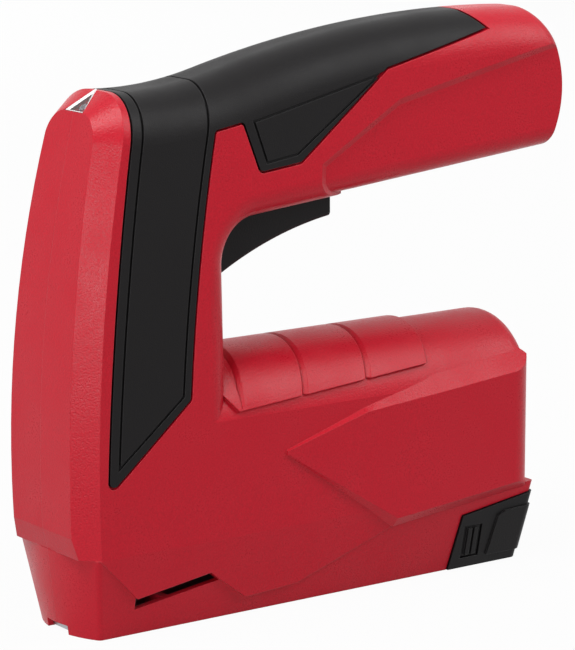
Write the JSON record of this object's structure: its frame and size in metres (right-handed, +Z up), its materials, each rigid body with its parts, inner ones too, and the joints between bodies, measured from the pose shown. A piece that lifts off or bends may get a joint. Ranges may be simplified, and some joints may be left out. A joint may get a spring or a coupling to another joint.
{
  "type": "cordless stapler",
  "caption": "Hand-held cordless stapler: red shell with a closed column, rear handle over an open finger gap, black grip, squeeze trigger, staple nose and a slide-out magazine.",
  "frame": {"origin": "centre of the staple exit, on the plane of the work face", "axes": "+X back along the foot towards the handle's end, -Y the tool's left side, +Z up"},
  "size_m": [0.2015, 0.054, 0.1917],
  "materials": {
    "red_shell": "fine spark-eroded texture, satin",
    "grip_rubber": "matte moulded rubber",
    "black_plastic": "moulded, fine texture",
    "clear_lens": "clear, polished",
    "led_body": "clear resin",
    "steel": "cold-rolled, zinc plated",
    "spring_steel": "drawn wire",
    "motor_can": "drawn can, zinc plated",
    "bronze": "sintered or rolled",
    "zinc": "die cast",
    "cell_sleeve": "shrink sleeve over a can",
    "board_green": "solder resist"
  },
  "bodies": {
    "housing": {"left_housing": "red_shell", "right_housing": "red_shell", "left_grip": "grip_rubber", "right_grip": "grip_rubber", "indicator_lens": "clear_lens", "indicator_led": "led_body", "housing_screws": "steel", "battery_cell": "cell_sleeve", "front_tab": "bronze", "rear_tab": "bronze", "control_board": "board_green", "charging_socket": "black_plastic", "trigger_pin": "steel", "trigger_switch": "black_plastic", "motor": "motor_can", "motor_end": "black_plastic", "motor_plate": "black_plastic", "ring_gear": "steel", "bearing_plate": "black_plastic", "output_bush": "bronze", "striker_frame": "steel", "bumper": "grip_rubber", "nose_plate": "steel", "staple_channel": "steel", "trigger_spring": "spring_steel", "main_spring": "spring_steel"},
    "trigger": {"trigger": "black_plastic"},
    "plunger": {"switch_plunger": "black_plastic"},
    "striker": {"striker": "steel", "driver_blade": "steel", "blade_rivets": "steel", "lift_rack": "steel"},
    "lifter": {"lifter_gear": "steel", "second_carrier": "steel"},
    "first_stage": {"first_carrier": "steel"},
    "rotor": {"motor_pinion": "steel"},
    "magazine": {"magazine_cap": "black_plastic", "magazine_rail": "steel", "pusher_rod": "steel", "pusher_spring": "spring_steel", "left_latch_spring": "spring_steel", "right_latch_spring": "spring_steel"},
    "pusher": {"pusher": "zinc"},
    "left_latch": {"left_latch": "black_plastic"},
    "right_latch": {"right_latch": "black_plastic"},
    "front_planet_1": {"front_planet_1": "steel"},
    "front_planet_2": {"front_planet_2": "steel"},
    "front_planet_3": {"front_planet_3": "steel"},
    "rear_planet_1": {"rear_planet_1": "steel"},
    "rear_planet_2": {"rear_planet_2": "steel"},
    "rear_planet_3": {"rear_planet_3": "steel"}
  },
  "joints": [
    {"name": "trigger_pull", "type": "hinge", "parent": "housing", "child": "trigger", "pos_m": [0.096, 0, 0.141], "axis": [0, 1, 0], "range_deg": [0, 7], "stiffness_Nm_per_rad": 1.5, "springref_deg": -2.86, "deforming": ["trigger_spring"]},
    {"name": "switch_press", "type": "slide", "parent": "housing", "child": "plunger", "axis": [0, 0, 1], "range_m": [0, 0.0027]},
    {"name": "lifter_turn", "type": "hinge", "parent": "housing", "child": "lifter", "pos_m": [0.035, 0, 0.057], "axis": [-1, 0, 0], "range_deg": [0, 103]},
    {"name": "first_stage_turn", "type": "hinge", "parent": "housing", "child": "first_stage", "pos_m": [0.053, 0, 0.057], "axis": [-1, 0, 0], "range_deg": [0, 619]},
    {"name": "rotor_turn", "type": "hinge", "parent": "housing", "child": "rotor", "pos_m": [0.062, 0, 0.057], "axis": [-1, 0, 0], "range_deg": [0, 3709]},
    {"name": "striker_lift", "type": "slide", "parent": "housing", "child": "striker", "axis": [0, 0, 1], "range_m": [0, 0.0181], "deforming": ["main_spring"]},
    {"name": "magazine_slide", "type": "slide", "parent": "housing", "child": "magazine", "axis": [1, 0, 0], "range_m": [0, 0.11]},
    {"name": "pusher_slide", "type": "slide", "parent": "magazine", "child": "pusher", "axis": [1, 0, 0], "range_m": [0, 0.1], "stiffness_N_per_m": 60, "springref_m": -0.02, "deforming": ["pusher_spring"]},
    {"name": "left_latch_press", "type": "slide", "parent": "magazine", "child": "left_latch", "axis": [0, 1, 0], "range_m": [0, 0.002], "stiffness_N_per_m": 800, "springref_m": -0.001, "deforming": ["left_latch_spring"]},
    {"name": "right_latch_press", "type": "slide", "parent": "magazine", "child": "right_latch", "axis": [0, -1, 0], "range_m": [0, 0.002], "stiffness_N_per_m": 800, "springref_m": -0.001, "deforming": ["right_latch_spring"]},
    {"name": "front_planet_1_spin", "type": "hinge", "parent": "lifter", "child": "front_planet_1", "pos_m": [0.0496, 0.0081, 0.057], "axis": [-1, 0, 0], "range_deg": [-258, 0]},
    {"name": "front_planet_2_spin", "type": "hinge", "parent": "lifter", "child": "front_planet_2", "pos_m": [0.0496, -0.00405, 0.06401], "axis": [-1, 0, 0], "range_deg": [-258, 0]},
    {"name": "front_planet_3_spin", "type": "hinge", "parent": "lifter", "child": "front_planet_3", "pos_m": [0.0496, -0.00405, 0.04999], "axis": [-1, 0, 0], "range_deg": [-258, 0]},
    {"name": "rear_planet_1_spin", "type": "hinge", "parent": "first_stage", "child": "rear_planet_1", "pos_m": [0.058, 0.0081, 0.057], "axis": [-1, 0, 0], "range_deg": [-1546, 0]},
    {"name": "rear_planet_2_spin", "type": "hinge", "parent": "first_stage", "child": "rear_planet_2", "pos_m": [0.058, -0.00405, 0.06401], "axis": [-1, 0, 0], "range_deg": [-1546, 0]},
    {"name": "rear_planet_3_spin", "type": "hinge", "parent": "first_stage", "child": "rear_planet_3", "pos_m": [0.058, -0.00405, 0.04999], "axis": [-1, 0, 0], "range_deg": [-1546, 0]}
  ],
  "couplings": [
    {"joint": "switch_press", "follows": "trigger_pull", "m_per_rad": 0.021},
    {"joint": "first_stage_turn", "follows": "lifter_turn", "ratio": 6},
    {"joint": "rotor_turn", "follows": "lifter_turn", "ratio": 36},
    {"joint": "striker_lift", "follows": "lifter_turn", "m_per_rad": 0.01},
    {"joint": "front_planet_1_spin", "follows": "lifter_turn", "ratio": -2.5},
    {"joint": "front_planet_2_spin", "follows": "lifter_turn", "ratio": -2.5},
    {"joint": "front_planet_3_spin", "follows": "lifter_turn", "ratio": -2.5},
    {"joint": "rear_planet_1_spin", "follows": "lifter_turn", "ratio": -15},
    {"joint": "rear_planet_2_spin", "follows": "lifter_turn", "ratio": -15},
    {"joint": "rear_planet_3_spin", "follows": "lifter_turn", "ratio": -15}
  ]
}
